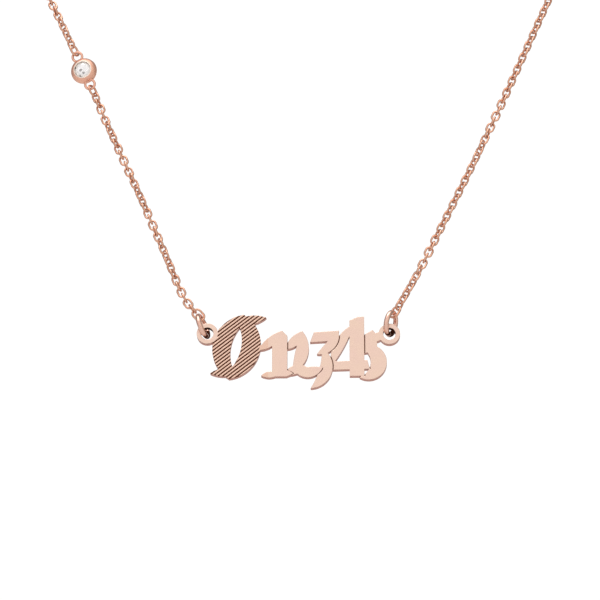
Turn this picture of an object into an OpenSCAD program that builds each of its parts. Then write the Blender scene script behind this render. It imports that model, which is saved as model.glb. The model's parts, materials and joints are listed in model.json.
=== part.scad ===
// Nameplate necklace: a pierced plate of joined figures on a cable chain, in the form it has on a neck.
// Millimetres, +Z up, front towards -Y. The origin is where the loop sits at the nape.

/* [Plate] */
// Thickness of the sheet the plate is cut from
plate_t = 1.2; // [0.8:0.05:1.3]
// Width of one small figure's cell
figure_w = 3.92; // [3.6:0.02:4.3]
// Height of a small figure
figure_h = 7.3; // [6.8:0.1:7.8]
// Width of the large first figure's cell
capital_w = 8.15; // [7.8:0.05:8.6]
// Height of the large first figure
capital_h = 10.1; // [9.6:0.1:10.6]
// Diameter of the holes in the two end rings
hole_d = 2; // [1.9:0.05:2.1]
// Width of metal round those holes
hole_wall = 0.7; // [0.6:0.02:0.8]
// Distance from the row of figures out to the left hole's centre
left_hole_out = 0.85; // [0.7:0.05:1]
// Distance from the row of figures out to the right hole's centre
right_hole_out = 0.4; // [0.35:0.05:0.7]
// How far the right hole sits below the left one
right_hole_drop = 0.28; // [0.2:0.02:0.3]

/* [Engraving] */
// Spacing of the ruled lines, square to them
ruling_pitch = 0.48; // [0.4:0.02:0.6]
// Width of a ruled line
ruling_w = 0.22; // [0.14:0.02:0.28]
// Depth of the ruled lines
ruling_depth = 0.16; // [0.1:0.02:0.3]
// Angle of the ruled lines from level
ruling_angle = 38; // [30:1:45]
// Width of the line that parts two figures
parting_w = 0.14; // [0.1:0.02:0.2]
// Depth of the line that parts two figures
parting_depth = 0.12; // [0.08:0.02:0.3]

/* [Jump rings] */
// Outer diameter of the rings that carry the plate
jump_d = 4.4; // [4.3:0.05:4.6]
// Wire of those rings
jump_wire = 0.82; // [0.76:0.02:0.84]
// Turn of the left ring about the vertical
left_yaw = 16; // [12:1:18]
// Lean of the left ring away from the vertical
left_lean = -19; // [-26:1:-18]
// Turn of the right ring about the vertical
right_yaw = 22; // [20:1:26]
// Lean of the right ring away from the vertical
right_lean = 14; // [10:1:18]

/* [Chain] */
// Length of a link
link_l = 2.03; // [1.98:0.01:2.08]
// Width of a link
link_w = 1.52; // [1.48:0.01:1.6]
// Wire of a link
link_wire = 0.37; // [0.34:0.01:0.38]
// Clear space between one link and the next
link_gap = 0.12; // [0.11:0.01:0.14]
// Length of the bigger links at the chain's ends
end_link_l = 2.5; // [2.4:0.02:2.6]
// Width of the bigger links at the chain's ends
end_link_w = 1.82; // [1.74:0.02:1.9]
// Wire of the bigger links at the chain's ends
end_link_wire = 0.38; // [0.34:0.01:0.4]

/* [Stone] */
// Distance along the left chain from the jump ring to the stone
stone_at = 49.1; // [46:0.2:56]
// Outer diameter of the setting
bezel_d = 4.4; // [4.2:0.02:4.5]
// Height of the setting
bezel_h = 1.9; // [1.85:0.05:2.2]
// Diameter of the stone
stone_d = 3; // [2.8:0.05:3.05]
// Reach of the setting's lip over the stone's edge
bezel_lip = 0.1; // [0.06:0.01:0.14]
// Outer diameter of the two small rings soldered to the setting
eyelet_d = 2.04; // [1.96:0.02:2.1]
// Wire of those small rings
eyelet_wire = 0.42; // [0.38:0.01:0.44]
// Length of the links next to the setting
setting_link_l = 2.44; // [2.36:0.02:2.6]
// Width of the links next to the setting
setting_link_w = 1.92; // [1.8:0.02:2]
// Wire of the links next to the setting
setting_link_wire = 0.39; // [0.36:0.01:0.41]
// Turn of the setting about the chain
bezel_turn = 26; // [20:1:40]

/* [Clasp] */
// Diameter of the clasp's loop
clasp_d = 5.2; // [5:0.1:5.6]
// Diameter of the hole in that loop
clasp_hole_d = 3; // [2.9:0.1:3.2]
// Thickness of the clasp
clasp_t = 1.4; // [1.2:0.1:1.5]
// Outer diameter of the clasp's small eye
clasp_eye_d = 2.2; // [2:0.05:2.4]
// Wire of the clasp's small eye
clasp_eye_wire = 0.5; // [0.4:0.02:0.54]
// Outer diameter of the ring that the clasp hooks
clasp_ring_d = 4.6; // [4.5:0.1:5]
// Wire of that ring
clasp_ring_wire = 0.6; // [0.5:0.05:0.66]

/* [Hidden] */
$fn = 72;

rose_gold = [0.87, 0.62, 0.52];
rose_gold_chain = [0.82, 0.53, 0.43];
clear_stone = [0.93, 0.95, 0.97];

// The plate hangs by two holes, the left one on this line
plate_y = -100;
plate_z = -107;
row_w = capital_w + 5 * figure_w;
hole_line = 0.986 * figure_h; // height of the left hole over the figures' feet
left_hole = [-row_w / 2 - left_hole_out, 0];
right_hole = [row_w / 2 + right_hole_out, -right_hole_drop];
hole_rim_r = hole_d / 2 + hole_wall;

pitch = link_l - 2 * link_wire - link_gap;
real_upper_links = 58; // links above the stone that are modelled one by one
real_half_links = 49;  // links in each half of the right chain that are modelled one by one
tube_d = link_w;
tube_sides = 8;
tube_step = 2.3;       // diameters from one ring of a tube to the next
tube_end_gap = 0.15;
loop_axis = [0, -50];  // upright axis round which the loop runs
route_steps = 10;
nape_gap = 0.3;        // slack between the clasp and its ring

// Small helpers
function unit(v) = v / norm(v);
function turned(v, angle) = [v.x * cos(angle) - v.y * sin(angle), v.x * sin(angle) + v.y * cos(angle)];

// Figures, drawn in a cell one wide and one high
module arc_disc(p, q, bulge) {
  chord = norm(q - p);
  r = (chord * chord / 4 + bulge * bulge) / (2 * bulge);
  translate(p) rotate(atan2(q.y - p.y, q.x - p.x)) translate([chord / 2, bulge - r]) circle(r);
}

// A pen stroke from p to q, pointed at both ends. Its sides bulge to the left and right by shares of the
// cell's width, and a right bulge below zero hollows that side.
module pen(cell, p, q, left, right) {
  a = [p.x * cell.x, p.y * cell.y];
  b = [q.x * cell.x, q.y * cell.y];
  chord = norm(b - a);
  bulge = left * cell.x;
  if (right > 0)
    intersection() {
      arc_disc(a, b, bulge);
      arc_disc(b, a, right * cell.x);
    }
  else
    difference() {
      intersection() {
        arc_disc(a, b, bulge);
        translate(a) rotate(atan2(b.y - a.y, b.x - a.x)) translate([-bulge, 0]) square([chord + 2 * bulge, 2 * bulge]);
      }
      arc_disc(a, b, -right * cell.x);
    }
}

module block(cell, corners) {
  polygon([for (c = corners) [c.x * cell.x, c.y * cell.y]]);
}

module figure_0(cell) {
  difference() {
    union() {
      pen(cell, [0.33, -0.03], [0.61, 1.02], 0.47, 0.47);
      pen(cell, [0.37, 0.87], [1.05, 0.97], 0.10, 0.09);
      pen(cell, [-0.04, 0.06], [0.61, 0.13], 0.09, 0.10);
    }
    pen(cell, [0.39, 0.17], [0.53, 0.81], 0.10, 0.10);
  }
}

module figure_1(cell) {
  block(cell, [[0.34, 0], [0.96, 0], [0.96, 0.92], [0.74, 1.04], [0.34, 0.84]]);
  pen(cell, [-0.22, 0.60], [0.74, 1.04], 0.13, 0.24);
  pen(cell, [-0.10, 0.02], [0.62, 0.04], 0.16, 0.10);
  pen(cell, [0.50, 0.05], [1.20, 0.07], 0.15, 0.11);
}

module figure_2(cell) {
  pen(cell, [-0.14, 0.62], [0.58, 1.03], 0.14, 0.26);
  pen(cell, [0.56, 1.03], [0.16, 0.08], 0.46, 0.08);
  pen(cell, [-0.18, 0.03], [0.80, 0.19], 0.27, 0.10);
  pen(cell, [0.26, 0.12], [1.40, 0.20], 0.10, 0.34);
}

module figure_3(cell) {
  block(cell, [[-0.12, 0.77], [0.96, 0.80], [1.06, 1.03], [0.04, 1.0]]);
  pen(cell, [0.16, 0.50], [1.04, 1.0], 0.05, 0.34);
  pen(cell, [0.36, 0.64], [-0.10, -0.27], 0.66, -0.13);
}

module figure_4(cell) {
  block(cell, [[0.48, 0], [1.08, 0], [1.08, 1.35], [0.82, 1.34], [0.48, 1.26]]);
  pen(cell, [-0.28, 0.21], [0.66, 1.18], 0.33, 0.10);
  block(cell, [[-0.32, 0.14], [1.30, 0.16], [1.20, 0.36], [-0.24, 0.33]]);
}

module figure_5(cell) {
  pen(cell, [0.06, 0.82], [1.06, 1.06], 0.05, 0.30);
  block(cell, [[-0.10, 0.50], [0.60, 0.56], [0.60, 0.92], [0.42, 1.04], [-0.10, 0.88]]);
  pen(cell, [-0.10, 0.66], [-0.12, -0.03], 1.10, -0.44);
}

// One figure in its place, in the plane of the plate with the left hole at height 0
module figure_in_row(i) {
  small = [figure_w, figure_h];
  translate([-row_w / 2 + (i == 0 ? 0 : capital_w + (i - 1) * figure_w), -hole_line]) {
    if (i == 0) figure_0([capital_w, capital_h]);
    if (i == 1) figure_1(small);
    if (i == 2) figure_2(small);
    if (i == 3) figure_3(small);
    if (i == 4) figure_4(small);
    if (i == 5) figure_5(small);
  }
}

module hole_rims() {
  translate(left_hole) circle(r = hole_rim_r);
  translate(right_hole) circle(r = hole_rim_r);
}

module plate_outline() {
  difference() {
    union() {
      for (i = [0:5]) figure_in_row(i);
      hole_rims();
    }
    translate(left_hole) circle(d = hole_d);
    translate(right_hole) circle(d = hole_d);
  }
}

// Ruled lines over the large figure, which end at its neighbours
module ruling() {
  reach = capital_w + capital_h;
  centre = [-row_w / 2 + capital_w / 2, -hole_line + capital_h / 2];
  lines = ceil(reach / 2 / ruling_pitch);
  difference() {
    intersection() {
      translate(centre) square([capital_w + 2, capital_h + 2], center = true);
      translate(centre) rotate(ruling_angle)
        for (k = [-lines:lines])
          translate([0, k * ruling_pitch]) square([2 * reach, ruling_w], center = true);
    }
    figure_in_row(1);
    hole_rims();
  }
}

// Lines along the right edge of a small figure where it lies over the next one
module partings() {
  for (i = [1:4])
    intersection() {
      difference() {
        translate([parting_w, 0]) figure_in_row(i);
        figure_in_row(i);
      }
      translate([-row_w / 2 + capital_w + (i - 0.35) * figure_w, -hole_line - 0.3 * figure_h])
        square([0.75 * figure_w, 1.8 * figure_h]);
    }
}

module engraving(depth) {
  translate([0, 0, plate_t / 2 - depth]) linear_extrude(depth + 1) children();
}

module nameplate() {
  color(rose_gold)
    translate([0, plate_y, plate_z]) rotate([90, 0, 0])
      difference() {
        translate([0, 0, -plate_t / 2]) linear_extrude(plate_t) plate_outline();
        engraving(ruling_depth) ruling();
        engraving(parting_depth) partings();
      }
}

// Round wire rings and links
module wire_ring(outer_d, wire) {
  rotate_extrude() translate([(outer_d - wire) / 2, 0]) circle(d = wire);
}

// A link of round wire lying in XY, long along X
module wire_link(l, w, wire) {
  half = (l - w) / 2;
  r = (w - wire) / 2;
  for (side = [-1, 1]) {
    translate([side * half, 0, 0]) rotate(side * 90 - 180)
      rotate_extrude(start = 0, angle = 180) translate([r, 0]) circle(d = wire);
    translate([-half, side * r, 0]) rotate([0, 90, 0]) cylinder(d = wire, h = 2 * half);
  }
}

// Jump rings: each leans in a plane that is turned about the vertical, and its wire crosses the plate's hole
jump_r = (jump_d - jump_wire) / 2;
left_hook = 3;   // how far round from its top the chain pulls each ring, towards the back
right_hook = 14;
left_cross = [-0.2, 0, -0.25];  // where each ring's wire crosses the plate, from its hole's centre
right_cross = [-0.15, 0, 0.11];

function ring_up(yaw, lean) = [sin(lean) * cos(yaw), -sin(lean) * sin(yaw), cos(lean)];
function ring_back(yaw) = [sin(yaw), cos(yaw), 0];
function crossing(hole, cross_at) = [hole[0], plate_y, plate_z + hole[1]] + cross_at;
function hook_point(hole, cross_at, yaw, lean, hook) =
  crossing(hole, cross_at) + jump_r * ((1 + cos(hook)) * ring_up(yaw, lean) + sin(hook) * ring_back(yaw));

module jump_ring(hole, cross_at, yaw, lean) {
  color(rose_gold)
    translate(crossing(hole, cross_at)) rotate([0, 0, -yaw]) rotate([0, lean, 0]) translate([0, 0, jump_r])
      rotate([0, 90, 0]) wire_ring(jump_d, jump_wire);
}

// Clasp at the nape: its eye takes the left chain and its loop hooks a ring on the right chain
clasp_eye_r = (clasp_eye_d - clasp_eye_wire) / 2;
clasp_ring_r = (clasp_ring_d - clasp_ring_wire) / 2;
clasp_x = -0.6;
clasp_hole_x = clasp_x + 0.3;
clasp_eye_x = clasp_x - clasp_d / 2 - clasp_eye_r + 0.1;
clasp_ring_inner = clasp_ring_r - clasp_ring_wire / 2 - nape_gap;
clasp_ring_x = clasp_hole_x + clasp_hole_d / 2 + sqrt(clasp_ring_inner * clasp_ring_inner - clasp_t * clasp_t / 4);

// Routes of the two sides, from the jump rings to the clasp: x, y, z and the roll of the links there.
// A roll of 0 faces a link outwards from the neck.
left_route = [
  concat(hook_point(left_hole, left_cross, left_yaw, left_lean, left_hook), 17),
  [-18.1, -99.5, -101.4, 17],
  [-19.5, -99.1, -98.6, 3],
  [-21.2, -98.7, -94.4, -23],
  [-24.0, -98.0, -87.6, -63],
  [-25.5, -97.6, -84.0, -105],
  [-28.4, -96.9, -77.4, -146],
  [-30.8, -96.2, -71.9, -188],
  [-32.4, -95.7, -68.2, -228],
  [-33.5, -95.3, -65.4, -262],
  [-34.8, -95.1, -62.4, -276],
  [-37.4, -95.1, -56.6, -276],
  [-38.6, -94.9, -54.0, -276],
  [-40.4, -94.4, -50.0, -296],
  [-42.3, -93.6, -45.8, -316],
  [-46.8, -91.0, -35.5, -320],
  [-51.8, -86.0, -24.5, -325],
  [-56.3, -77.0, -15.5, -330],
  [-59.2, -65.0, -9.3, -335],
  [-60.0, -52.0, -5.2, -340],
  [-58.3, -38.0, -2.4, -345],
  [-53.3, -25.0, -0.9, -350],
  [-45.0, -14.5, -0.2, -355],
  [-34.0, -7.0, 0.1, -360],
  [-21.5, -2.4, 0.2, -360],
  [-10.5, -0.4, 0.1, -360],
  [clasp_eye_x - clasp_eye_r, 0, 0, -360]
];
right_route = [
  concat(hook_point(right_hole, right_cross, right_yaw, right_lean, right_hook), -50),
  [18.1, -99.1, -98.2, -55],
  [19.9, -98.7, -94.7, -24],
  [22.5, -98.1, -89.3, 12],
  [27.9, -97.0, -78.0, 13],
  [31.3, -96.2, -70.5, 52],
  [34.1, -95.5, -64.2, 84],
  [41.5, -93.7, -47.1, 93],
  [46.3, -91.2, -36.0, 94],
  [51.5, -86.0, -25.0, 95],
  [56.0, -77.0, -16.0, 95],
  [59.0, -65.0, -9.5, 95],
  [60.0, -52.0, -5.2, 95],
  [58.5, -38.0, -2.4, 94],
  [53.5, -25.0, -0.9, 92],
  [45.0, -14.5, -0.2, 90],
  [34.0, -7.0, 0.1, 90],
  [21.5, -2.4, 0.2, 90],
  [10.5, -0.4, 0.1, 90],
  [clasp_ring_x + clasp_ring_r, 0, 0, 90]
];

// A smooth curve through the route's points, and a table of it by length
function curve_point(p, i, u) =
  let (a = p[max(i - 1, 0)], b = p[i], c = p[i + 1], d = p[min(i + 2, len(p) - 1)])
  0.5 * (2 * b + (c - a) * u + (2 * a - 5 * b + 4 * c - d) * u * u + (3 * b - a - 3 * c + d) * u * u * u);
function curve(p) =
  [for (i = [0:len(p) - 2], k = [0:route_steps - 1]) curve_point(p, i, k / route_steps), p[len(p) - 1]];
function place(v) = [v[0], v[1], v[2]];
function step(q, i) = i + 1 < len(q) ? norm(place(q[i + 1]) - place(q[i])) : 0;
function lengths(q) = [for (i = 0, s = 0; i < len(q); s = s + step(q, i), i = i + 1) s];
function by_length(q) = let (s = lengths(q)) [for (k = [0:3]) [for (i = [0:len(q) - 1]) [s[i], q[i][k]]]];
function total(track) = track[0][len(track[0]) - 1][0];
function point_at(track, s) = [for (k = [0:2]) lookup(s, track[k])];
function roll_at(track, s) = lookup(s, track[3]);
function heading(track, s) =
  unit(point_at(track, min(s + pitch / 2, total(track))) - point_at(track, max(s - pitch / 2, 0)));
function outward(p, t) =
  let (r = [p.x - loop_axis.x, p.y - loop_axis.y, 0]) unit(r - (r * t) * t);

left = by_length(curve(left_route));
right = by_length(curve(right_route));

// Puts its children on a route: X along the chain and Z out of it, rolled about X
module on_route(track, s, roll) {
  p = point_at(track, s);
  t = heading(track, s);
  out = outward(p, t);
  n = out * cos(roll) + cross(t, out) * sin(roll);
  w = cross(n, t);
  multmatrix([[t.x, w.x, n.x, p.x], [t.y, w.y, n.y, p.y], [t.z, w.z, n.z, p.z], [0, 0, 0, 1]]) children();
}

// Distances from wire centre to link centre, and from link centre to link centre
function hooked(l, wire, other_wire) = l / 2 - wire - other_wire / 2 - link_gap;
function chained(l1, wire1, l2, wire2) = l1 / 2 - wire1 + l2 / 2 - wire2 - link_gap;
jump_to_end = hooked(end_link_l, end_link_wire, jump_wire);
end_to_link = chained(end_link_l, end_link_wire, link_l, link_wire);
setting_to_link = chained(setting_link_l, setting_link_wire, link_l, link_wire);
eyelet_r = (eyelet_d - eyelet_wire) / 2;
eyelet_sunk = 0.32; // how far the two small rings go into the setting
eyelet_out = bezel_d / 2 + eyelet_r - eyelet_sunk;
stone_to_setting_link = eyelet_out + eyelet_r + hooked(setting_link_l, setting_link_wire, eyelet_wire);

// Each stretch of plain links: the places of its first and last link, and the equal space between links
function spread(from, to) = (to - from) / round((to - from) / pitch);
left_end_at = total(left) - hooked(end_link_l, end_link_wire, clasp_eye_wire);
right_end_at = total(right) - hooked(end_link_l, end_link_wire, clasp_ring_wire);
lower_from = jump_to_end + end_to_link;
lower_to = stone_at - stone_to_setting_link - setting_to_link;
lower_space = spread(lower_from, lower_to);
lower_links = round((lower_to - lower_from) / lower_space) + 1;
upper_from = stone_at + stone_to_setting_link + setting_to_link;
upper_space = spread(upper_from, left_end_at - end_to_link);
right_from = jump_to_end + end_to_link;
right_space = spread(right_from, right_end_at - end_to_link);

module plain_links(track, from, space, first, count) {
  for (i = [first:first + count - 1])
    on_route(track, from + i * space, roll_at(track, from + i * space) + 90 * (i + 1))
      wire_link(link_l, link_w, link_wire);
}

module end_link(track, s, roll) {
  on_route(track, s, roll) wire_link(end_link_l, end_link_w, end_link_wire);
}

module chain_left_lower() {
  color(rose_gold_chain) {
    end_link(left, jump_to_end, roll_at(left, jump_to_end));
    plain_links(left, lower_from, lower_space, 0, lower_links);
  }
}

module chain_left_upper() {
  color(rose_gold_chain) plain_links(left, upper_from, upper_space, 0, real_upper_links);
}

module chain_right_lower() {
  color(rose_gold_chain) {
    end_link(right, jump_to_end, roll_at(right, jump_to_end));
    plain_links(right, right_from, right_space, 0, real_half_links);
  }
}

module chain_right_upper() {
  color(rose_gold_chain) plain_links(right, right_from, right_space, real_half_links, real_half_links);
}

// The finer stretches at the back, each swept as one tube of the chain's width
function tube_ring(track, s, d) =
  let (p = point_at(track, s), t = heading(track, s), out = outward(p, t), side = cross(t, out))
  [for (k = [0:tube_sides - 1])
    let (a = 360 * k / tube_sides) p + d / 2 * (out * cos(a) + side * sin(a))];

module chain_tube(track, from, to) {
  rings = ceil((to - from) / (tube_step * tube_d));
  points = [for (i = [0:rings]) each tube_ring(track, from + (to - from) * i / rings, tube_d)];
  last = rings * tube_sides;
  sides = [for (i = [0:rings - 1], k = [0:tube_sides - 1])
    let (a = i * tube_sides + k, b = i * tube_sides + (k + 1) % tube_sides)
    [a, a + tube_sides, b + tube_sides, b]];
  polyhedron(points, concat(sides,
    [[for (k = [0:tube_sides - 1]) k]],
    [[for (k = [tube_sides - 1:-1:0]) last + k]]));
}

module chain_left_back() {
  start = upper_from + (real_upper_links - 1) * upper_space + link_l / 2 + tube_end_gap;
  color(rose_gold_chain) chain_tube(left, start, left_end_at - end_link_l / 2 - tube_end_gap);
}

module chain_right_back() {
  start = right_from + (2 * real_half_links - 1) * right_space + link_l / 2 + tube_end_gap;
  color(rose_gold_chain) chain_tube(right, start, right_end_at - end_link_l / 2 - tube_end_gap);
}

module end_link_left() {
  color(rose_gold_chain) end_link(left, left_end_at, 90);
}

module end_link_right() {
  color(rose_gold_chain) end_link(right, right_end_at, 0);
}

// Bigger links on each side of the setting
setting_link_turn = 60;

module link_lower() {
  color(rose_gold_chain)
    on_route(left, stone_at - stone_to_setting_link, bezel_turn + setting_link_turn)
      wire_link(setting_link_l, setting_link_w, setting_link_wire);
}

module link_upper() {
  color(rose_gold_chain)
    on_route(left, stone_at + stone_to_setting_link, bezel_turn + setting_link_turn)
      wire_link(setting_link_l, setting_link_w, setting_link_wire);
}

// Setting and stone, built with the stone's edge plane at height 0 and its table towards +Z
stone_r = stone_d / 2;
stone_gap = 0.03;
stone_edge = 0.06;
crown_h = 0.15 * stone_d;
pavilion_h = 0.43 * stone_d;
table_r = 0.56 * stone_r;
star_r = 0.80 * stone_r;
star_z = stone_edge / 2 + crown_h * (stone_r - star_r * cos(22.5)) / (stone_r - table_r);
crown_slope = (star_z - stone_edge / 2) / (stone_r - star_r); // its steepest facets, next to the edge
rim_up = 0.5;                  // rim of the setting over the stone's edge
setting_forward = 0.35;        // stone's edge plane in front of the two small rings
bezel_back = rim_up - bezel_h;
bezel_back_r = 0.88 * bezel_d / 2;
back_hole_r = 0.7;

module setting_metal() {
  outer_r = bezel_d / 2;
  lip_r = stone_r - bezel_lip;
  rest_r = stone_r + stone_gap;
  seat_drop = stone_edge / 2 + stone_gap;
  slope = pavilion_h / stone_r;
  dome_r = 0.54 * outer_r;               // round of the rim, from the lip out to the widest place
  dome_x = outer_r - dome_r;
  dome_z = rim_up - sqrt(dome_r * dome_r - (lip_r - dome_x) * (lip_r - dome_x));
  inner_r = 0.8 * back_hole_r;
  rotate_extrude() difference() {
    union() {
      polygon([
        [back_hole_r, bezel_back],
        [bezel_back_r, bezel_back],
        [outer_r, dome_z],
        [outer_r - 0.25 * dome_r, dome_z + 0.25 * dome_r],
        [back_hole_r, dome_z + 0.25 * dome_r]
      ]);
      intersection() {
        translate([dome_x, dome_z]) circle(r = dome_r);
        translate([dome_x, dome_z]) square([dome_r, dome_r]);
      }
    }
    polygon([
      [inner_r, -seat_drop - (rest_r - inner_r) * slope],
      [rest_r, -seat_drop],
      [rest_r, stone_edge / 2 + stone_gap],
      [lip_r, stone_edge / 2 + stone_gap + bezel_lip * crown_slope],
      [lip_r, dome_z + 2 * dome_r],
      [inner_r, dome_z + 2 * dome_r]
    ]);
  }
}

module bezel() {
  color(rose_gold)
    on_route(left, stone_at, bezel_turn) {
      translate([0, 0, setting_forward]) setting_metal();
      for (side = [-1, 1])
        translate([side * eyelet_out, 0, 0]) wire_ring(eyelet_d, eyelet_wire);
    }
}

// Round brilliant: table, eight stars, eight kites, sixteen edge facets above and below, eight main facets
function ring_points(n, r, z, turn) = [for (k = [0:n - 1]) [r * cos(360 / n * (k + turn)), r * sin(360 / n * (k + turn)), z]];

module stone() {
  main_r = 0.25 * stone_r;
  main_z = -stone_edge / 2 - pavilion_h * (stone_r - main_r * cos(22.5)) / stone_r;
  points = concat(
    ring_points(8, table_r, stone_edge / 2 + crown_h, 0),
    ring_points(8, star_r, star_z, 0.5),
    ring_points(16, stone_r, stone_edge / 2, 0),
    ring_points(16, stone_r, -stone_edge / 2, 0),
    ring_points(8, main_r, main_z, 0.5),
    [[0, 0, -stone_edge / 2 - pavilion_h]]);
  star = 8;
  top = 16;
  low = 32;
  main = 48;
  culet = 56;
  faces = concat(
    [[for (k = [7:-1:0]) k]],
    [for (k = [0:7]) [k, (k + 1) % 8, star + k]],
    [for (k = [0:7]) [k, star + k, top + 2 * k, star + (k + 7) % 8]],
    [for (k = [0:7]) [star + k, top + 2 * k + 1, top + 2 * k]],
    [for (k = [0:7]) [star + k, top + (2 * k + 2) % 16, top + 2 * k + 1]],
    [for (k = [0:15]) [top + k, top + (k + 1) % 16, low + (k + 1) % 16, low + k]],
    [for (k = [0:7]) [low + 2 * k, low + 2 * k + 1, main + k]],
    [for (k = [0:7]) [low + 2 * k + 1, low + (2 * k + 2) % 16, main + k]],
    [for (k = [0:7]) [culet, main + (k + 7) % 8, low + 2 * k, main + k]]);
  color(clear_stone) on_route(left, stone_at, bezel_turn) translate([0, 0, setting_forward]) polyhedron(points, faces);
}

module clasp() {
  color(rose_gold)
    rotate([90, 0, 0]) {
      translate([0, 0, -clasp_t / 2]) linear_extrude(clasp_t)
        difference() {
          translate([clasp_x, 0]) circle(d = clasp_d);
          translate([clasp_hole_x, 0]) circle(d = clasp_hole_d);
        }
      translate([clasp_eye_x, 0, 0]) wire_ring(clasp_eye_d, clasp_eye_wire);
    }
}

module clasp_ring() {
  color(rose_gold) translate([clasp_ring_x, 0, 0]) wire_ring(clasp_ring_d, clasp_ring_wire);
}

nameplate();
jump_ring(left_hole, left_cross, left_yaw, left_lean);  // jump_ring_left
jump_ring(right_hole, right_cross, right_yaw, right_lean);  // jump_ring_right
chain_left_lower();
link_lower();
bezel();
stone();
link_upper();
chain_left_upper();
chain_left_back();
chain_right_lower();
chain_right_upper();
chain_right_back();
end_link_left();
end_link_right();
clasp();
clasp_ring();
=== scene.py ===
import bmesh
import bpy
import json
import math
import numpy as np
from mathutils import Matrix, Vector


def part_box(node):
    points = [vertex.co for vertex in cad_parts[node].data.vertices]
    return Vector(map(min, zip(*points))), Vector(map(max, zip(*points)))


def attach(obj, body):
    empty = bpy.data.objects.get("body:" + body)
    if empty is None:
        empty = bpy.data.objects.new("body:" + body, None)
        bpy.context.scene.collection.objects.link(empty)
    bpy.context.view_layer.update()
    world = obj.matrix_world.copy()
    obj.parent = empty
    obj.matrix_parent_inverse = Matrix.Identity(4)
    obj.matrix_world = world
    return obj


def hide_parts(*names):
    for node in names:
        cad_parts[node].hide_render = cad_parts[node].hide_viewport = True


print("loading the frame")
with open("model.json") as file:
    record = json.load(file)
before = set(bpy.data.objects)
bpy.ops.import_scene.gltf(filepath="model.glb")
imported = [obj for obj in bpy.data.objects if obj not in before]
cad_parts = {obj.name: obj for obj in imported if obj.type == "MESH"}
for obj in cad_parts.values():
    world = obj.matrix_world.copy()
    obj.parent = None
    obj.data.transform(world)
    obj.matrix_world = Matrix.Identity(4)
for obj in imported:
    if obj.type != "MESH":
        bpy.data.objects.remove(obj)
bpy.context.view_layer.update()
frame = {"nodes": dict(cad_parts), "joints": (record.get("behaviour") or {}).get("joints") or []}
nodes = frame["nodes"]
scene = bpy.context.scene


# camera: below the plate and almost in front of it, as the photograph was taken

photo = {"side": 600, "pixelsPerMm": 6.27, "distance": 0.450, "azimuth": 1.5, "elevation": -17.5,
         "rimRadius": 0.0017, "holePixel": (207.5, 334.6), "sensor": 36, "near": 0.01, "far": 20}


def placeCamera(view):
    turn, tilt = math.radians(view["azimuth"]), math.radians(view["elevation"])
    back = Vector((math.sin(turn) * math.cos(tilt), -math.cos(turn) * math.cos(tilt), math.sin(tilt)))
    right = Vector((math.cos(turn), math.sin(turn), 0))
    up = right.cross(-back)
    perPixel = 0.001 / view["pixelsPerMm"]
    half = view["side"] / 2
    across = (view["holePixel"][0] - half) * perPixel
    above = (half - view["holePixel"][1]) * perPixel
    hangs = frame["joints"][0]["pos_m"]    # the swing's axis is as high as the left hole's middle
    leftHole = Vector((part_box("nameplate")[0].x + view["rimRadius"], hangs[1], hangs[2]))
    target = leftHole - right * across - up * above
    camera = bpy.data.objects.new("camera", bpy.data.cameras.new("camera"))
    scene.collection.objects.link(camera)
    camera.location = target + back * view["distance"]
    camera.rotation_euler = (-back).to_track_quat("-Z", "Y").to_euler()
    camera.data.sensor_width = view["sensor"]
    camera.data.lens = view["sensor"] * view["pixelsPerMm"] * view["distance"] * 1000 / view["side"]
    camera.data.clip_start = view["near"]
    camera.data.clip_end = view["far"]
    scene.camera = camera


placeCamera(photo)


# shader maths: a Field is a socket that takes part in ordinary sums

class Field:
    def __init__(self, tree, socket):
        self.tree = tree
        self.socket = socket

    def maths(self, operation, other=None, swapped=False):
        node = self.tree.nodes.new("ShaderNodeMath")
        node.operation = operation
        pair = (other, self) if swapped else (self, other)
        for slot, value in enumerate(pair):
            if isinstance(value, Field):
                self.tree.links.new(value.socket, node.inputs[slot])
            elif value is not None:
                node.inputs[slot].default_value = value
        return Field(self.tree, node.outputs[0])

    def __add__(self, other): return self.maths("ADD", other)
    def __radd__(self, other): return self.maths("ADD", other, True)
    def __sub__(self, other): return self.maths("SUBTRACT", other)
    def __rsub__(self, other): return self.maths("SUBTRACT", other, True)
    def __mul__(self, other): return self.maths("MULTIPLY", other)
    def __rmul__(self, other): return self.maths("MULTIPLY", other, True)
    def __truediv__(self, other): return self.maths("DIVIDE", other)
    def __gt__(self, other): return self.maths("GREATER_THAN", other)
    def __lt__(self, other): return self.maths("LESS_THAN", other)
    def __abs__(self): return self.maths("ABSOLUTE")
    def atLeast(self, other): return self.maths("MAXIMUM", other)
    def atMost(self, other): return self.maths("MINIMUM", other)
    def raised(self, power): return self.maths("POWER", power)
    def rounded(self): return self.maths("ROUND")


class Finish:
    def __init__(self, name, tree=None):
        if tree is None:
            self.material = bpy.data.materials.new(name)
            self.material.use_nodes = True
            tree = self.material.node_tree
        self.tree = tree
        self.tree.nodes.clear()

    def add(self, kind, settings=None, sockets=None, output=0):
        node = self.tree.nodes.new("ShaderNode" + kind)
        for key, value in (settings or {}).items():
            if key == "stops":
                ramp = node.color_ramp
                while len(ramp.elements) < len(value):
                    ramp.elements.new(0.5)
                for element, (place, colour) in zip(ramp.elements, value):
                    element.position = place
                    element.color = (*colour, 1)
            else:
                setattr(node, key, value)
        for key, value in (sockets or {}).items():
            if isinstance(value, Field):
                self.tree.links.new(value.socket, node.inputs[key])
            else:
                node.inputs[key].default_value = value
        return Field(self.tree, node.outputs[output])

    def mixColours(self, share, first, second):
        return self.add("Mix", {"data_type": "RGBA"}, {0: share, 6: first, 7: second}, 2)

    def split(self, vector):
        node = self.add("SeparateXYZ", None, {0: vector}).socket.node
        return [Field(self.tree, out) for out in node.outputs]

    def join(self, shader):
        out = self.tree.nodes.new("ShaderNodeOutputMaterial")
        self.tree.links.new(shader.socket, out.inputs["Surface"])


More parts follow.
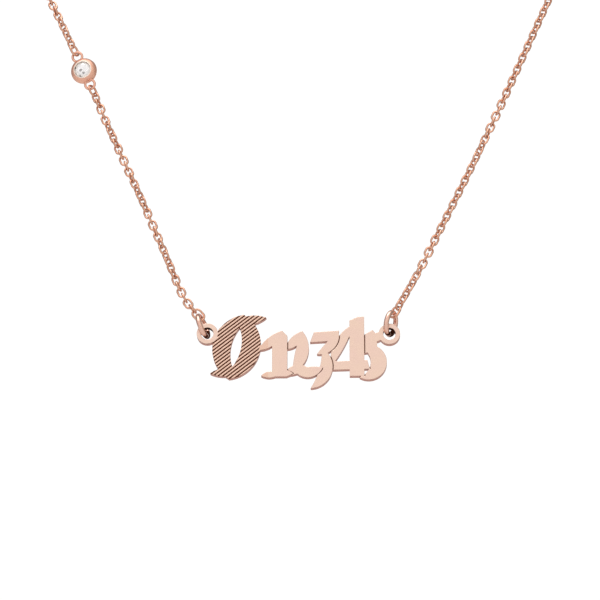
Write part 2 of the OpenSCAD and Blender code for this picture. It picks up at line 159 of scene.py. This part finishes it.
# rose gold plate over silver: colour drifts a little, fine rubbed marks, a thin painted shade line on edges turned
# right

# painted in these colours: the plate's edge line, cut sides and hole sides, the wire's dark in the holes, the ruled
# figure and the setting's upper side are painted shade; the setting's rim round the stone is a painted highlight
roseGold = {
    "plate": {"colour": (0.862, 0.632, 0.508, 1), "deeper": (0.848, 0.603, 0.512, 1), "roughness": 0.27,
              "edge": 0.00012, "edgeColour": (0.42, 0.22, 0.16, 1), "rubbed": 0.08,
              "paintedShadeWalls": (0.50, 0.235, 0.175, 1), "paintedHoleWallShade": (0.16, 0.045, 0.02, 1)},
    "setting": {"colour": (0.870, 0.515, 0.385, 1), "deeper": (0.820, 0.445, 0.325, 1), "roughness": 0.50,
                "rubbed": 0.05, "lip": (1.0, 0.90, 0.80, 1), "above": (0.50, 0.265, 0.195, 1)},
    "wire": {"colour": (0.850, 0.550, 0.440, 1), "deeper": (0.800, 0.480, 0.380, 1), "roughness": 0.22,
             "rubbed": 0.05, "paintedShadeInHoles": (0.13, 0.035, 0.015, 1)},
    "chain": {"colour": (0.755, 0.432, 0.302, 1), "deeper": (0.655, 0.338, 0.225, 1), "roughness": 0.16,
              "rubbed": 0.05},
}

grain = {"cloudScale": 420.0, "cloudFrom": 0.35, "cloudGain": 2.2, "rubScale": 9000.0, "rubTurn": (0.3, 0.5, 0.8),
         "rubStretch": (1, 1, 9), "bump": 0.12, "bumpDepth": 0.00001, "cloudShare": 0.5, "toneShare": 0.6}
# samples for the rounded edges, and how strong the painted shade line on edges turned right is
edgeBevelAndPaintedShade = {"samples": 6, "turnedRight": 0.08, "gain": 4.0, "share": 0.8}
facings = {"wall": 0.6, "face": 0.9}    # a wall turns less than this to the front or back, the face more
rougher = {"paintedShadeWalls": 0.12, "paintedShadeInHoles": 0.6, "engraving": 0.25}
# the ruled figure; the colour of its lines and the deeper colour between them are painted shade
engraved = {"pitch": 0.00048, "width": 0.00022, "angle": 38, "front": -0.1006, "skin": 0.00002, "deepest": -0.10040,
            "centre": (-0.0098, -0.10915), "end": -0.0050, "spread": 0.06, "colour": (0.15, 0.045, 0.020, 1),
            "paintedShadeLands": (0.80, 0.50, 0.365, 1), "landShare": 0.55}
# where the painted highlight round the stone lies, and how much less metallic it is there
settingLip = {"centre": (-0.036157, -0.095444, -0.059513), "reach": 0.00162, "soft": 0.0001, "lessMetal": 0.65}
# the plate's holes, and the depth from which the wire behind them gets painted shade
plateHoles = {"places": ((-0.014725, -0.107), (0.014275, -0.10728)), "reach": 0.00108, "ring": 0.00172,
              "darkFrom": -0.10005}


def within(x, z, place, reach):
    sideways, upwards = x - place[0], z - place[1]
    return (sideways * sideways + upwards * upwards) < reach ** 2


def inPlateHoles(x, z):
    left, right = (within(x, z, place, plateHoles["reach"]) for place in plateHoles["places"])
    return left + right


def ruledPart(x, z):
    # the ruled figure: everything left of its right edge, apart from the ring at the end of the plate
    return (x < engraved["end"]) * (1.0 - within(x, z, plateHoles["places"][0], plateHoles["ring"]))


def metal(name, look, engraving=None, toneAttribute=None):
    finish = Finish(name)
    place = finish.add("TexCoord", output=3)
    x, y, z = finish.split(place)
    facing, upward = finish.split(finish.add("TexCoord", output=1))[1:]
    cloud = finish.add("TexNoise", None, {
        "Vector": place, "Scale": grain["cloudScale"], "Detail": 3.0, "Roughness": 0.5})
    along = finish.add("Mapping", None, {
        "Vector": place, "Rotation": grain["rubTurn"], "Scale": grain["rubStretch"]})
    rub = finish.add("TexNoise", None, {
        "Vector": along, "Scale": grain["rubScale"], "Detail": 4.0, "Roughness": 0.6})
    drift = ((cloud - grain["cloudFrom"]) * grain["cloudGain"]).atLeast(0.0).atMost(1.0)
    if toneAttribute:
        # each link has a tone of its own
        tone = finish.add("Attribute", {"attribute_name": toneAttribute}, output=2)
        drift = (drift * grain["cloudShare"] + tone * grain["toneShare"]).atMost(1.0)
    colour = finish.mixColours(drift, look["colour"], look["deeper"])
    roughness = look["roughness"] + (rub - 0.5) * look["rubbed"]
    polish = 1.0
    bump = {"Strength": grain["bump"], "Distance": grain["bumpDepth"], "Height": rub}
    if "edge" in look:
        # edges are rounded in the shading, and those turned to the right get a thin painted shade line
        rounded = finish.add("Bevel", {"samples": edgeBevelAndPaintedShade["samples"]}, {"Radius": look["edge"]})
        plain = finish.add("NewGeometry", output=1)
        alike = finish.add("VectorMath", {"operation": "DOT_PRODUCT"}, {0: rounded, 1: plain}, 1)
        rightward = finish.split(rounded)[0] > edgeBevelAndPaintedShade["turnedRight"]
        paintedEdgeShadeMask = ((1.0 - alike) * edgeBevelAndPaintedShade["gain"]).atMost(1.0) * rightward
        colour = finish.mixColours(paintedEdgeShadeMask * edgeBevelAndPaintedShade["share"], colour, look["edgeColour"])
        bump["Normal"] = rounded
    if "paintedShadeWalls" in look:
        # painted shade: the cut sides of the sheet are painted deeper than its faces, and deepest in the two holes
        paintedShadeWalls = abs(facing) < facings["wall"]
        colour = finish.mixColours(paintedShadeWalls, colour, look["paintedShadeWalls"])
        roughness = roughness + paintedShadeWalls * rougher["paintedShadeWalls"]
        colour = finish.mixColours(paintedShadeWalls * inPlateHoles(x, z), colour, look["paintedHoleWallShade"])
    if "paintedShadeInHoles" in look:
        # painted shade: the wire is painted dark where it goes out at the back of the plate's holes
        shaded = inPlateHoles(x, z) * (y > plateHoles["darkFrom"])
        colour = finish.mixColours(shaded, colour, look["paintedShadeInHoles"])
        roughness = roughness + shaded * rougher["paintedShadeInHoles"]
    if "lip" in look:
        # painted shade and painted highlight: the side turned up is painted a little deeper, and the cut rim round
        # the stone is painted light and made less metallic
        # painted shade on the side turned up
        colour = finish.mixColours(upward.atLeast(0.0), colour, look["above"])
        sideways, forwards, upwards = (here - there for here, there in zip((x, y, z), settingLip["centre"]))
        away = (sideways * sideways + forwards * forwards + upwards * upwards).raised(0.5)
        paintedLightOnLip = ((settingLip["reach"] - away) / settingLip["soft"]).atLeast(0.0).atMost(1.0)
        colour = finish.mixColours(paintedLightOnLip, colour, look["lip"])
        polish = 1.0 - paintedLightOnLip * settingLip["lessMetal"]
    if engraving:
        # painted shade: a deep tone in the ruled lines, on their floors by depth and on their sides by the lines'
        # own pattern, and a lighter one on the strips between them
        skin = engraving["front"] + engraving["skin"]
        toFront = facing < -facings["face"]
        sunk = (y > skin) * (y < engraving["deepest"])
        slope = math.radians(engraving["angle"])
        middleX, middleZ = engraving["centre"]
        across = ((z - middleZ) * math.cos(slope) - (x - middleX) * math.sin(slope)) / engraving["pitch"]
        halfLine = engraving["width"] / engraving["pitch"] * 0.5 + engraving["spread"]
        stripe = abs(across - across.rounded()) < halfLine
        paintedLineShade = (sunk * toFront + sunk * stripe * (x < engraving["end"])).atMost(1.0)
        paintedShadeLands = ruledPart(x, z) * toFront * (y < skin)
        colour = finish.mixColours(paintedShadeLands * engraving["landShare"], colour, engraving["paintedShadeLands"])
        colour = finish.mixColours(paintedLineShade, colour, engraving["colour"])
        roughness = roughness + paintedLineShade * rougher["engraving"]
    finish.join(finish.add("BsdfPrincipled", None, {
        "Base Color": colour, "Metallic": polish, "Roughness": roughness,
        "Normal": finish.add("Bump", None, bump)}))
    return finish.material


# the stone's bright, paler and grey colours are painted reflections
cutStone = {"bright": (0.985, 0.975, 0.970, 1), "paler": (0.90, 0.885, 0.88, 1), "grey": (0.40, 0.385, 0.38, 1),
            "greyShare": 0.11, "cells": 2100.0, "clear": 0.04, "haze": 1500.0, "refraction": 2.17,
            "glassFrom": (0.99, 0.99, 1.0, 1), "glassTo": (0.96, 0.97, 0.98, 1), "glassRough": 0.02,
            "facetMetal": 0.2, "facetRough": (0.05, 0.04)}


def clearStone():
    # clear glass over painted reflections: bright and grey patches stand for the light its lower facets throw back
    finish = Finish("clearStone")
    place = finish.add("TexCoord", output=3)
    haze = finish.add("TexNoise", None, {"Vector": place, "Scale": cutStone["haze"], "Detail": 2.0})
    cells = finish.add("TexVoronoi", None, {"Vector": place, "Scale": cutStone["cells"]}, 1)
    patch, shade = finish.split(cells)[:2]
    # painted reflections: bright and grey patches on the facets
    body = finish.mixColours(shade, cutStone["bright"], cutStone["paler"])
    body = finish.mixColours(patch < cutStone["greyShare"], body, cutStone["grey"])
    glass = finish.add("BsdfPrincipled", None, {
        "Base Color": finish.mixColours(haze, cutStone["glassFrom"], cutStone["glassTo"]),
        "Roughness": haze * cutStone["glassRough"], "IOR": cutStone["refraction"], "Transmission Weight": 1.0})
    least, more = cutStone["facetRough"]
    facets = finish.add("BsdfPrincipled", None, {
        "Base Color": body, "Metallic": cutStone["facetMetal"], "Roughness": least + haze * more})
    finish.join(finish.add("MixShader", None, {0: 1.0 - cutStone["clear"], 1: glass, 2: facets}))
    return finish.material


plateMetal = metal("roseGoldPlate", roseGold["plate"], engraved)
settingMetal = metal("roseGoldSetting", roseGold["setting"])
wireMetal = metal("roseGoldWire", roseGold["wire"])
chainMetal = metal("roseGoldChain", roseGold["chain"], toneAttribute="tone")

# the plate and the stone stay as the frame has them, with a finish of their own
for name, material in (("nameplate", plateMetal), ("stone", clearStone())):
    for slot in nodes[name].material_slots:
        slot.material = material
print("finishes made, and set on the plate and the stone")


# chain: geometry nodes make every link, where the frame has it, or along the tube that stands for it at the back

linkShape = {"arcSteps": 14, "wireSides": 6, "bigArcSteps": 26, "bigWireSides": 10}
reading = {"decimals": 7, "ringsApart": 0.0016, "sameSize": 0.00006, "sizeDecimals": 5}
toneSeed = 7
loopAxis = Vector((0, -0.05, 0))    # the middle of the neck, which the links' turns are counted from


def groupByTouch(count, first, second):
    # points joined by an edge get the same label
    label = np.arange(count)
    while True:
        before = label.copy()
        low = np.minimum(label[first], label[second])
        np.minimum.at(label, label[first], low)
        np.minimum.at(label, label[second], low)
        label = label[label]
        if (label == before).all():
            return label


def meshPoints(node):
    # a node's own points, each one once, and the pairs of them that its edges join
    mesh = nodes[node].data
    co = np.empty(len(mesh.vertices) * 3, np.float32)
    mesh.vertices.foreach_get("co", co)
    edges = np.empty(len(mesh.edges) * 2, np.int64)
    mesh.edges.foreach_get("vertices", edges)
    rounded = np.round(co.reshape(-1, 3).astype(float), reading["decimals"])
    points, which = np.unique(rounded, axis=0, return_inverse=True)
    which = which.ravel()
    ends = which[edges.reshape(-1, 2)]
    return points, ends[:, 0], ends[:, 1]


def readLinks(node):
    # each loose solid of the node is one link: its middle, its directions and its size
    points, first, second = meshPoints(node)
    label = groupByTouch(len(points), first, second)
    links = []
    for k in np.unique(label):
        own = points[label == k]
        middle = (own.max(0) + own.min(0)) / 2
        axes = np.linalg.eigh(np.cov((own - middle).T))[1].T[::-1]
        reach = [(own - middle) @ axis for axis in axes]
        middle = middle + sum((r.max() + r.min()) / 2 * axis for r, axis in zip(reach, axes))
        size = tuple(round(float(r.max() - r.min()), reading["sizeDecimals"]) for r in reach)
        links.append({"middle": Vector(middle), "along": Vector(axes[0]), "out": Vector(axes[2]), "size": size})
    return links


def ringCentres(node):
    # a tube's points lie in rings along its route
    points = meshPoints(node)[0]
    apart = np.linalg.norm(points[:, None] - points[None], axis=2)
    first, second = np.nonzero(apart < reading["ringsApart"])
    label = groupByTouch(len(points), first, second)
    return [Vector(points[label == k].mean(0)) for k in np.unique(label)]


def inOrder(places, start):
    left, here, order = list(places), start, []
    while left:
        here = min(left, key=lambda p: (p - here).length)
        left.remove(here)
        order.append(here)
    return order


def smoothPath(points, steps=24):
    path = []
    for i in range(len(points) - 1):
        a, b, c, d = points[max(i - 1, 0)], points[i], points[i + 1], points[min(i + 2, len(points) - 1)]
        for k in range(steps):
            u = k / steps
            path.append(0.5 * (2 * b + (c - a) * u + (2 * a - 5 * b + 4 * c - d) * u * u
                               + (3 * b - a - 3 * c + d) * u * u * u))
    return np.array([*path, points[-1]])


def outwards(place, along):
    away = place - loopAxis
    away.z = 0
    return (away - along * away.dot(along)).normalized()


def rollOf(link, along):
    # how far the link's flat side is turned from facing away from the neck
    base = outwards(link["middle"], along)
    return math.degrees(math.atan2(link["out"].dot(along.cross(base)), link["out"].dot(base)))


def backLinks(tube, lastLinks, endLink):
    # links from the last real one to the clasp's link, as close together as the last two are
    last, before = lastLinks
    space = (last["middle"] - before["middle"]).length
    centres = inOrder(ringCentres(tube), last["middle"])
    path = smoothPath([last["middle"], *centres, endLink["middle"]])
    length = np.concatenate([[0], np.cumsum(np.linalg.norm(np.diff(path, axis=0), axis=1))])
    reach = length[-1] - (endLink["size"][0] - last["size"][0]) / 2
    count = round(reach / space) - 1

    def at(distance):
        return Vector([np.interp(distance, length, path[:, k]) for k in range(3)])

    def heading(distance):
        return (at(min(distance + space / 2, length[-1])) - at(max(distance - space / 2, 0))).normalized()

    startRoll, endRoll = rollOf(last, heading(0)), rollOf(endLink, heading(length[-1]))
    twist = (endRoll - startRoll - 90 * (count + 1) + 90) % 180 - 90
    links = []
    for i in range(1, count + 1):
        distance = reach * i / (count + 1)
        along = heading(distance)
        base = outwards(at(distance), along)
        roll = math.radians(startRoll + 90 * i + twist * i / (count + 1))
        links.append({"middle": at(distance), "along": along, "size": last["size"],
                      "out": base * math.cos(roll) + along.cross(base) * math.sin(roll)})
    print("  ", tube, "becomes", count, "links,", round(reach / (count + 1) * 1000, 3), "mm apart")
    return links


def linkTree():
    tree = bpy.data.node_groups.new("linksOnPoints", "GeometryNodeTree")
    face = tree.interface
    face.new_socket("Points", in_out="INPUT", socket_type="NodeSocketGeometry")
    for label in ("Link Length", "Link Width", "Wire"):
        face.new_socket(label, in_out="INPUT", socket_type="NodeSocketFloat")
    for label in ("Arc Steps", "Wire Sides"):
        face.new_socket(label, in_out="INPUT", socket_type="NodeSocketInt")
    face.new_socket("Metal", in_out="INPUT", socket_type="NodeSocketMaterial")
    face.new_socket("Links", in_out="OUTPUT", socket_type="NodeSocketGeometry")
    entry, leave = tree.nodes.new("NodeGroupInput"), tree.nodes.new("NodeGroupOutput")

    def add(kind, settings=None, sockets=None):
        node = tree.nodes.new(kind)
        for key, value in (settings or {}).items():
            setattr(node, key, value)
        for key, value in (sockets or {}).items():
            if isinstance(value, bpy.types.NodeSocket):
                tree.links.new(value, node.inputs[key])
            else:
                node.inputs[key].default_value = value
        return node

    def maths(operation, a, b):
        return add("ShaderNodeMath", {"operation": operation}, {0: a, 1: b}).outputs[0]

    length, width, wire = (entry.outputs[k] for k in ("Link Length", "Link Width", "Wire"))
    bendRadius = maths("MULTIPLY", maths("SUBTRACT", width, wire), 0.5)
    straight = maths("MULTIPLY", maths("SUBTRACT", length, width), 0.5)
    circle = add("GeometryNodeCurvePrimitiveCircle", {"mode": "RADIUS"},
                 {"Resolution": entry.outputs["Arc Steps"], "Radius": bendRadius})
    where = add("ShaderNodeSeparateXYZ", None, {0: add("GeometryNodeInputPosition").outputs[0]})
    shift = add("ShaderNodeCombineXYZ", None, {0: maths("MULTIPLY", maths("SIGN", where.outputs[0], 0.0), straight)})
    stretched = add("GeometryNodeSetPosition", None, {"Geometry": circle.outputs[0], "Offset": shift.outputs[0]})
    section = add("GeometryNodeCurvePrimitiveCircle", {"mode": "RADIUS"},
                  {"Resolution": entry.outputs["Wire Sides"], "Radius": maths("MULTIPLY", wire, 0.5)})
    link = add("GeometryNodeCurveToMesh", None, {"Curve": stretched.outputs[0], "Profile Curve": section.outputs[0]})
    turn = add("GeometryNodeInputNamedAttribute", {"data_type": "QUATERNION"}, {"Name": "turn"})
    placed = add("GeometryNodeInstanceOnPoints", None,
                 {"Points": entry.outputs["Points"], "Instance": link.outputs[0], "Rotation": turn.outputs[0]})
    real = add("GeometryNodeRealizeInstances", None, {"Geometry": placed.outputs[0]})
    smooth = add("GeometryNodeSetShadeSmooth", None, {"Geometry": real.outputs[0], "Shade Smooth": True})
    painted = add("GeometryNodeSetMaterial", None,
                  {"Geometry": smooth.outputs[0], "Material": entry.outputs["Metal"]})
    tree.links.new(painted.outputs[0], leave.inputs["Links"])
    return tree


linksOnPoints = linkTree()
toneSource = np.random.default_rng(toneSeed)


def linkMesh(links, big):
    size = links[0]["size"]
    cloud = bpy.data.meshes.new("places")
    cloud.from_pydata([link["middle"] for link in links], [], [])
    turns, tones = [], []
    for link in links:
        x, z = link["along"].normalized(), link["out"].normalized()
        y = z.cross(x)
        turns.extend(Matrix((x, y, z)).transposed().to_quaternion())
        tones.append(float(toneSource.uniform(0, 1)))
    cloud.attributes.new("turn", "QUATERNION", "POINT").data.foreach_set("value", turns)
    cloud.attributes.new("tone", "FLOAT", "POINT").data.foreach_set("value", tones)
    holder = bpy.data.objects.new("places", cloud)
    scene.collection.objects.link(holder)
    modifier = holder.modifiers.new("links", "NODES")
    modifier.node_group = linksOnPoints
    wanted = {"Link Length": size[0], "Link Width": size[1], "Wire": size[2],
              "Arc Steps": linkShape["bigArcSteps" if big else "arcSteps"],
              "Wire Sides": linkShape["bigWireSides" if big else "wireSides"], "Metal": chainMetal}
    for item in linksOnPoints.interface.items_tree:
        if item.in_out == "INPUT" and item.name in wanted:
            modifier[item.identifier] = wanted[item.name]
    graph = bpy.context.evaluated_depsgraph_get()
    mesh = bpy.data.meshes.new_from_object(holder.evaluated_get(graph))
    holder.modifiers.remove(modifier)
    bpy.data.objects.remove(holder)
    return mesh


def chainPiece(name, links, replaced):
    # one mesh for a stretch of chain, from a group of links for each size in it
    groups = {}
    for link in links:
        groups.setdefault(link["size"], []).append(link)
    most = max(len(group) for group in groups.values())
    parts = []
    for group in groups.values():
        part = bpy.data.objects.new(name, linkMesh(group, big=len(group) < most))
        scene.collection.objects.link(part)
        parts.append(part)
    with bpy.context.temp_override(active_object=parts[0], object=parts[0], selected_objects=parts,
                                   selected_editable_objects=parts):
        bpy.ops.object.join()
    piece = parts[0]
    piece.name = name
    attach(piece, "necklace")
    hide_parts(*replaced)
    print("  ", name, len(links), "links,", len(piece.data.polygons), "faces")


weld = {"merge": 0.0000005, "sliver": 0.0000001}


def smoothPiece(node, name, material, sharpest):
    # the same form as the solid, with its triangles joined and its round faces shaded smooth
    mesh = nodes[node].data.copy()
    form = bmesh.new()
    form.from_mesh(mesh)
    bmesh.ops.remove_doubles(form, verts=form.verts, dist=weld["merge"])
    bmesh.ops.dissolve_degenerate(form, dist=weld["sliver"], edges=form.edges)
    form.to_mesh(mesh)
    form.free()
    mesh.shade_smooth()
    mesh.set_sharp_from_angle(angle=math.radians(sharpest))
    mesh.materials.clear()
    mesh.materials.append(material)
    piece = bpy.data.objects.new(name, mesh)
    scene.collection.objects.link(piece)
    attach(piece, "necklace")
    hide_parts(node)


def roundSizes(links, like):
    # one size for the links of a stretch, so that they share one shape
    for link in links:
        if all(abs(a - b) < reading["sameSize"] for a, b in zip(link["size"], like)):
            link["size"] = like


print("reading the chain")
found = {node: readLinks(node) for node in (
    "chain_left_lower", "link_lower", "link_upper", "chain_left_upper", "end_link_left",
    "chain_right_lower", "chain_right_upper", "end_link_right")}
common = max((link["size"] for links in found.values() for link in links),
             key=lambda s: sum(s == link["size"] for links in found.values() for link in links))
for links in found.values():
    roundSizes(links, common)


def lastTwo(node, towards):
    # the two plain links nearest to where the hidden stretch begins
    plain = [link for link in found[node] if link["size"] == common]
    plain.sort(key=lambda link: (link["middle"] - towards).length)
    return plain[:2]


leftSide, rightSide = Vector((-0.06, -0.05, 0)), Vector((0.06, -0.05, 0))
leftBack = backLinks("chain_left_back", lastTwo("chain_left_upper", leftSide), found["end_link_left"][0])
rightBack = backLinks("chain_right_back", lastTwo("chain_right_upper", rightSide), found["end_link_right"][0])

chainPiece("chainBelowStone", found["chain_left_lower"] + found["link_lower"], ["chain_left_lower", "link_lower"])
chainPiece("chainAboveStone", found["link_upper"] + found["chain_left_upper"] + leftBack + found["end_link_left"],
           ["link_upper", "chain_left_upper", "chain_left_back", "end_link_left"])
chainPiece("chainRight",
           found["chain_right_lower"] + found["chain_right_upper"] + rightBack + found["end_link_right"],
           ["chain_right_lower", "chain_right_upper", "chain_right_back", "end_link_right"])
print("chain made")

smoothPiece("jump_ring_left", "jumpRingLeft", wireMetal, 60)
smoothPiece("jump_ring_right", "jumpRingRight", wireMetal, 60)
smoothPiece("bezel", "setting", settingMetal, 35)
smoothPiece("clasp", "claspLoop", wireMetal, 40)
smoothPiece("clasp_ring", "claspRing", wireMetal, 60)
print("rings, setting and clasp made smooth")


# studio: pale floor, white wall behind, soft light from above, in front and the sides

studio = {"floor": -0.262, "wall": 0.75, "side": 2.6, "wallGlow": 1.05, "wallMiddle": (-0.022, 0.166),
          "brightTo": 0.215, "darkFrom": 0.75, "darkGlow": 0.38, "floorColour": (0.90, 0.89, 0.88, 1),
          "floorRough": 0.6}
lamps = {"topBox": {"place": (0, -0.5, 1.1), "aim": (0, -0.3, -0.26), "size": (1.2, 1.0), "power": 7.5},
         "keyBox": {"place": (-0.45, -0.9, 0.85), "aim": (0, -0.1, -0.08), "size": (0.45, 0.35), "power": 1.0}}
roomLight = {"frontToBack": [(0.0, (1.0, 1.0, 1.0)), (0.2, (0.94, 0.94, 0.94)), (0.5, (0.42, 0.42, 0.42)),
                             (0.75, (0.28, 0.28, 0.28)), (1.0, (0.32, 0.32, 0.32))],
             "leftToRight": [(0.0, (1.0, 0.93, 0.96)), (0.5, (1.0, 1.0, 1.0)), (1.0, (1.0, 0.97, 0.90))]}


def sheetOf(name, corners, material):
    mesh = bpy.data.meshes.new(name)
    mesh.from_pydata(corners, [], [(0, 1, 2, 3)])
    mesh.materials.append(material)
    plane = bpy.data.objects.new(name, mesh)
    scene.collection.objects.link(plane)


def paleFloor():
    finish = Finish("paleFloor")
    finish.join(finish.add("BsdfPrincipled", None, {
        "Base Color": studio["floorColour"], "Roughness": studio["floorRough"]}))
    return finish.material


def whiteWall():
    # bright behind the necklace and darker out at the sides, so that round metal keeps its edges,
    # and clear from its back, so that the necklace can be seen from behind
    finish = Finish("whiteWall")
    x, _, z = finish.split(finish.add("TexCoord", output=3))
    across, above = x - studio["wallMiddle"][0], z - studio["wallMiddle"][1]
    away = (across * across + above * above).maths("SQRT")
    fade = finish.add("MapRange", {"interpolation_type": "SMOOTHSTEP"},
                      {0: away, 1: studio["brightTo"], 2: studio["darkFrom"], 3: 0.0, 4: 1.0})
    bright, dark = studio["wallGlow"], studio["darkGlow"]
    glow = finish.add("Emission", None, {
        "Color": finish.mixColours(fade, (bright, bright, bright, 1), (dark, dark, dark, 1)), "Strength": 1.0})
    fromBehind = finish.add("NewGeometry", output=6)
    finish.join(finish.add("MixShader", None, {0: fromBehind, 1: glow, 2: finish.add("BsdfTransparent")}))
    return finish.material


low, wall, half = studio["floor"], studio["wall"], studio["side"] / 2
sheetOf("floor", [(-half, -half, low), (half, -half, low), (half, wall, low), (-half, wall, low)], paleFloor())
sheetOf("backdrop", [(-half, wall, low), (half, wall, low), (half, wall, low + half), (-half, wall, low + half)],
        whiteWall())


def softBox(name, box):
    data = bpy.data.lights.new(name, "AREA")
    data.shape = "RECTANGLE"
    data.size, data.size_y = box["size"]
    data.energy = box["power"]
    lamp = bpy.data.objects.new(name, data)
    lamp.location = box["place"]
    towards = Vector(box["aim"]) - Vector(box["place"])
    lamp.rotation_euler = towards.to_track_quat("-Z", "Y").to_euler()
    scene.collection.objects.link(lamp)


for name, box in lamps.items():
    softBox(name, box)


def softRoom():
    # a pale room, bright in front of the necklace and darker at its sides and back
    world = bpy.data.worlds.new("softRoom")
    world.use_nodes = True
    scene.world = world
    room = Finish("softRoom", world.node_tree)
    x, y, _ = room.split(room.add("TexCoord", output=0))
    light = room.add("ValToRGB", {"stops": roomLight["frontToBack"]}, {"Fac": y * 0.5 + 0.5})
    tint = room.add("ValToRGB", {"stops": roomLight["leftToRight"]}, {"Fac": x * 0.5 + 0.5})
    both = room.add("Mix", {"data_type": "RGBA", "blend_type": "MULTIPLY"}, {0: 1.0, 6: light, 7: tint}, 2)
    sky = room.add("Background", None, {"Color": both, "Strength": 1.0})
    out = world.node_tree.nodes.new("ShaderNodeOutputWorld")
    world.node_tree.links.new(sky.socket, out.inputs["Surface"])


softRoom()
scene.view_settings.view_transform = "Standard"
print("studio set")
